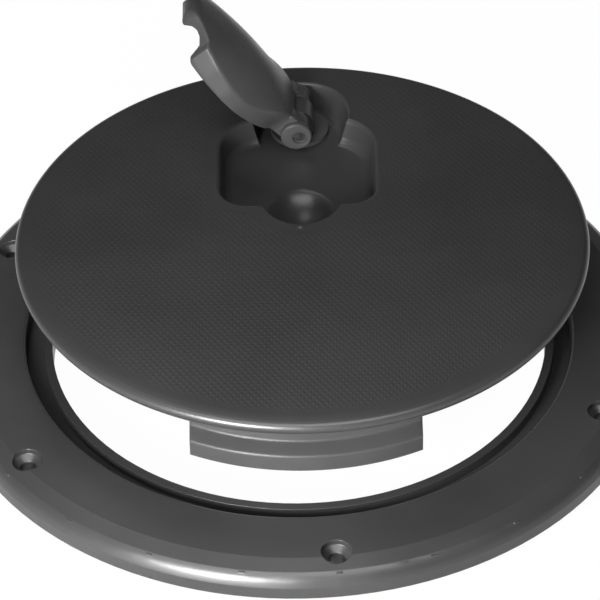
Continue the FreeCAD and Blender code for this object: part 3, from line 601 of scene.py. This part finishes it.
    # one side wall: over the rounded edge, down, round its foot and up inside
    def sideWall(sign, bottom):
        turn = np.linspace(0.0, 1.0, settings["edgePoints"])[1:]
        turn = col(lean) + (math.pi / 2 - col(lean)) * turn
        v = [col(half - r) + col(r) * np.sin(turn)]
        w = [col(low) + col(r) * np.cos(turn)]
        down = np.linspace(0.0, 1.0, settings["sidePoints"])[1:]
        v.append(col(half) + 0 * down)
        w.append(col(low) + (col(bottom + e) - col(low)) * down)
        turn = np.linspace(0.0, math.pi / 2, settings["lowPoints"])[1:]
        v.append(col(half - e) + col(e) * np.cos(turn))
        w.append(col(bottom + e) - col(e) * np.sin(turn))
        inner = np.maximum(cavity, bottom + gap)
        v.append(np.stack([half - wall + 0.1 * e, half - wall, half - wall], 1))
        w.append(np.stack([bottom, bottom + gap / 2, inner], 1))
        return sign * np.concatenate(v, 1), np.concatenate(w, 1)

    topV = col(edge) * np.linspace(-1.0, 1.0, settings["topPoints"])
    topW = col(top) - topV ** 2 * col(bend)
    nearV, nearW = sideWall(1.0, near)
    farV, farW = sideWall(-1.0, far)
    inside = np.linspace(1.0, -1.0, settings["underPoints"])[1:-1]
    underV = col(half - wall) * inside
    underW = col(np.maximum(cavity, near + gap)) + 0 * inside
    v = np.concatenate([topV, nearV, underV, farV[:, ::-1]], 1)
    w = np.concatenate([topW, nearW, underW, farW[:, ::-1]], 1)
    piece = addLoops("lever_cover", onLever(col(u) + 0 * v, v, w), leverPlasticPaintedLight, "lever",
                     sharp=settings["sharp"])
    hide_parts("cam_lever")


# lever ear: a cam disc about its own centre, carried across from its inner to its outer face with
# rounded rims, a slightly wider hub past the washer's edge, and a dished hole about the pin; each
# row is a circle, whose centre moves from the pin's to the cam's as its radius grows
def makeLeverEar(name, sign):
    settings = {"steps": 96, "rimSoft": 0.8, "rimSteps": 7, "holeRim": 0.6,
                "camRows": [(-0.5, 0.0), (-0.15, 0.15), (0.0, 0.5), (0.0, 3.0), (0.0, 5.5)],
                "hubRows": [(-0.1, 5.7), (0.0, 5.9)],
                "dishRows": [(1.0, 0.08), (0.5, 0.12), (0.15, 0.25), (0.0, 0.6), (-0.1, 1.1)],
                "seatDepth": 1.15, "sharp": 40.0}
    angle = np.linspace(0.0, 2 * math.pi, settings["steps"], endpoint=False)
    cu, cw = lever["camCentre"]
    cam, hub, hole, seat = (lever[k] for k in ("camRadius", "hubRadius", "pinHole", "pinSeat"))
    a, b = lever["earInner"], lever["earOuter"][0 if sign > 0 else 1]
    soft, rim = settings["rimSoft"], settings["holeRim"]
    turn = np.linspace(0.0, math.pi / 2, settings["rimSteps"])
    rows = [(seat, a), (hole + rim, a)]
    rows += [(cam + more, a + out) for more, out in settings["camRows"]]
    rows += [(hub + more, a + out) for more, out in settings["hubRows"]]
    rows += [(hub - soft + soft * math.cos(t), b - soft * (1 - math.sin(t))) for t in turn]
    rows += [(hole + more, b - down) for more, down in settings["dishRows"]]
    rows += [(seat, b - settings["seatDepth"])]
    loops = []
    for radius, across in rows:
        share = min(max((radius - hole - rim) / (cam - soft - hole - rim), 0.0), 1.0)
        loops.append(onLever(cu * share + radius * np.cos(angle), sign * across + 0 * angle,
                             cw * share + radius * np.sin(angle)))
    addLoops(name, np.array(loops), leverPlasticPaintedLight, "lever", joined=True,
             sharp=settings["sharp"])


# lever web: a block that ties an ear to the cover; its outline in u and w is a box of the fifth
# power, drawn in at both ends by a quarter circle
def makeLeverWeb(name, sign):
    settings = {"from": 1.6, "to": 8.4, "low": -5.5, "high": 3.3, "inner": 4.8, "outer": 10.9,
                "soft": 0.6, "softSteps": 6, "power": 5, "steps": 96, "sharp": 50.0}
    angle = np.linspace(0.0, 2 * math.pi, settings["steps"], endpoint=False)
    mid = (settings["from"] + settings["to"]) / 2, (settings["low"] + settings["high"]) / 2
    wide = (settings["to"] - settings["from"]) / 2, (settings["high"] - settings["low"]) / 2
    c, d, soft, power = np.cos(angle), np.sin(angle), settings["soft"], settings["power"]
    out = 1.0 / (np.abs(c) ** power + np.abs(d) ** power) ** (1.0 / power)
    turn = np.linspace(0.0, math.pi / 2, settings["softSteps"])
    rows = [(1 - math.sin(t), settings["inner"] + soft * (1 - math.cos(t))) for t in turn]
    rows += [(1 - math.cos(t), settings["outer"] - soft * (1 - math.sin(t))) for t in turn]
    loops = [onLever(mid[0] + (wide[0] - soft * k) * out * c, sign * across + 0 * angle,
                     mid[1] + (wide[1] - soft * k) * out * d) for k, across in rows]
    addLoops(name, np.array(loops), leverPlasticPaintedLight, "lever", sharp=settings["sharp"])


makeLeverCover()
makeLeverEar("lever_ear_near", 1.0)
makeLeverEar("lever_ear_far", -1.0)
makeLeverWeb("lever_web_near", 1.0)
makeLeverWeb("lever_web_far", -1.0)
print("lever made")


# finishes of the CAD nodes, the two that are hidden among them
def dressFrame():
    finishes = {"deck_ring": ringPlastic, "front_tongue": tonguePlasticPaintedLight, "cam_lever": leverPlasticPaintedLight,
                "latch_post": latchPlastic, "post_bush": bearingPlastic,
                "thrust_washer": bearingPlastic, "lid_gasket": sealRubber,
                "post_seal_ring": sealRubber, "latch_dog": brightSteel,
                "dog_washer": brightSteel, "dog_nut": brightSteel, "pivot_pin": pinSteel,
                "lid": ringPlastic}
    for node, material in finishes.items():
        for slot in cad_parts[node].material_slots:
            slot.material = material


dressFrame()
print("frame dressed")


# how much of a background shows: one share to the camera, and another to mirrors and glass
def shownShare(nodes, links, toCamera, toMirrors):
    ray = nodes.new("ShaderNodeLightPath")
    mirrors = math2(nodes, links, "MAXIMUM", ray.outputs["Is Glossy Ray"],
                    ray.outputs["Is Transmission Ray"])
    mirrors = math2(nodes, links, "MULTIPLY", toMirrors, mirrors)
    camera = math2(nodes, links, "MULTIPLY", ray.outputs["Is Camera Ray"], toCamera)
    return math2(nodes, links, "MAXIMUM", camera, mirrors)


# floor: white to the camera, and near the part to mirrors, with a share of its own lit colour
# kept for the shadow
def makeFloor():
    settings = {"size": 6.0, "below": 0.2 * mm, "tone": 0.80, "roughness": 0.9, "specular": 0.1,
                "whiteShare": 0.98, "whiteRadius": 0.28, "whiteFade": 0.15}
    low = cadBox[0].z - settings["below"]
    half = settings["size"] / 2
    mesh = bpy.data.meshes.new("floor")
    mesh.from_pydata([(-half, -half, low), (half, -half, low), (half, half, low),
                      (-half, half, low)], [], [(0, 1, 2, 3)])
    floor = bpy.data.objects.new("floor", mesh)
    bpy.context.scene.collection.objects.link(floor)
    material, nodes, links, shader = newMaterial("floor_white")
    tone, radius = settings["tone"], settings["whiteRadius"]
    shader.inputs["Base Color"].default_value = (tone, tone, tone, 1.0)
    shader.inputs["Roughness"].default_value = settings["roughness"]
    shader.inputs["Specular IOR Level"].default_value = settings["specular"]
    away = nodes.new("ShaderNodeVectorMath")
    away.operation = "LENGTH"
    links.new(nodes.new("ShaderNodeTexCoord").outputs["Object"], away.inputs[0])
    near = ramp(nodes, links, away.outputs["Value"], (radius, radius + settings["whiteFade"]),
                (settings["whiteShare"], 0.0))
    white = nodes.new("ShaderNodeEmission")
    mix = nodes.new("ShaderNodeMixShader")
    links.new(shownShare(nodes, links, settings["whiteShare"], near), mix.inputs["Fac"])
    links.new(shader.outputs["BSDF"], mix.inputs[1])
    links.new(white.outputs["Emission"], mix.inputs[2])
    links.new(mix.outputs["Shader"], nodes["Material Output"].inputs["Surface"])
    mesh.materials.append(material)


# sky: dim as a light and darker to the back, white to the camera, and pale near the horizon to
# mirrors
def makeSky():
    settings = {"span": (-1.0, 0.6), "frontToBack": (0.08, 0.02), "horizon": (0.05, 0.25)}
    world = bpy.data.worlds.new("sky")
    bpy.context.scene.world = world
    world.use_nodes = True
    nodes, links = world.node_tree.nodes, world.node_tree.links
    background = nodes["Background"]
    background.inputs["Color"].default_value = (1.0, 1.0, 1.0, 1.0)
    split = nodes.new("ShaderNodeSeparateXYZ")
    links.new(nodes.new("ShaderNodeTexCoord").outputs["Generated"], split.inputs["Vector"])
    dim = ramp(nodes, links, split.outputs["Y"], settings["span"], settings["frontToBack"])
    horizon = ramp(nodes, links, split.outputs["Z"], settings["horizon"], (1.0, 0.0))
    shown = shownShare(nodes, links, 1.0, horizon)
    links.new(math2(nodes, links, "MAXIMUM", dim, shown), background.inputs["Strength"])


# lamps: metres and watts; each is a rectangle that faces its aim and is hidden from the camera
lamps = {"softbox": {"place": (-0.05, -0.40, 0.95), "aim": (0.0, 0.0, 0.03), "power": 9.5,
                     "size": (1.0, 0.6)},
         "high_back": {"place": (-0.14, 0.45, 0.95), "aim": (0.0, 0.0, 0.0), "power": 0.9,
                       "size": (0.35, 0.35)},
         "near_left": {"place": (-0.14, -0.34, 0.15), "aim": (-0.02, -0.08, 0.02), "power": 3.6,
                       "size": (0.14, 0.10)},
         "low_front": {"place": (-0.45, -0.95, 0.15), "aim": (0.0, 0.0, 0.04), "power": 5.4,
                       "size": (0.8, 0.22)}}


def addLamp(name, settings):
    data = bpy.data.lights.new(name, "AREA")
    data.energy = settings["power"]
    data.shape = "RECTANGLE"
    data.size, data.size_y = settings["size"]
    lamp = bpy.data.objects.new(name, data)
    bpy.context.scene.collection.objects.link(lamp)
    place = Vector(settings["place"])
    turn = (Vector(settings["aim"]) - place).to_track_quat("-Z", "Y").to_matrix().to_4x4()
    lamp.matrix_world = Matrix.Translation(place) @ turn
    lamp.visible_camera = False


makeFloor()
makeSky()
for name, settings in lamps.items():
    addLamp(name, settings)
print("setting made")

bpy.context.scene.view_settings.view_transform = "Standard"
